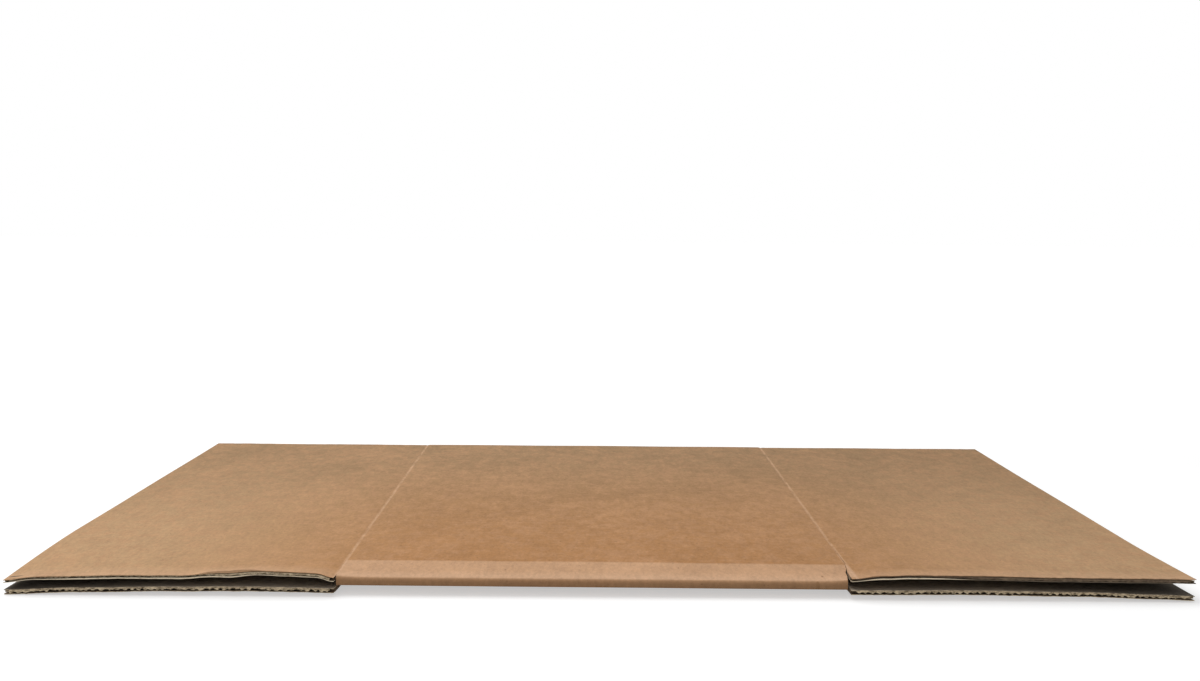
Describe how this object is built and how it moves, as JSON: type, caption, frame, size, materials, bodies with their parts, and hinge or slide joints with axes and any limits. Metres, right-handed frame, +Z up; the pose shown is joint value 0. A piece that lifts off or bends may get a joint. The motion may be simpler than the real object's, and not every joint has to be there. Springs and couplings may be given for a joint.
{
  "type": "flattened cardboard box",
  "caption": "Slotted shipping carton of corrugated board, knocked flat and folded in half, with the flutes open at its flap ends.",
  "frame": {"origin": "on the underside, at the middle of the box's outline", "axes": "+X along the flutes from one row of flaps to the other, +Y from the single near fold to the two far folds, +Z up through the four boards"},
  "size_m": [0.904, 0.513, 0.0157],
  "materials": {
    "kraft_board": "matt uncoated kraft"
  },
  "bodies": {
    "root": {"flattened_box": "kraft_board"}
  },
  "joints": []
}
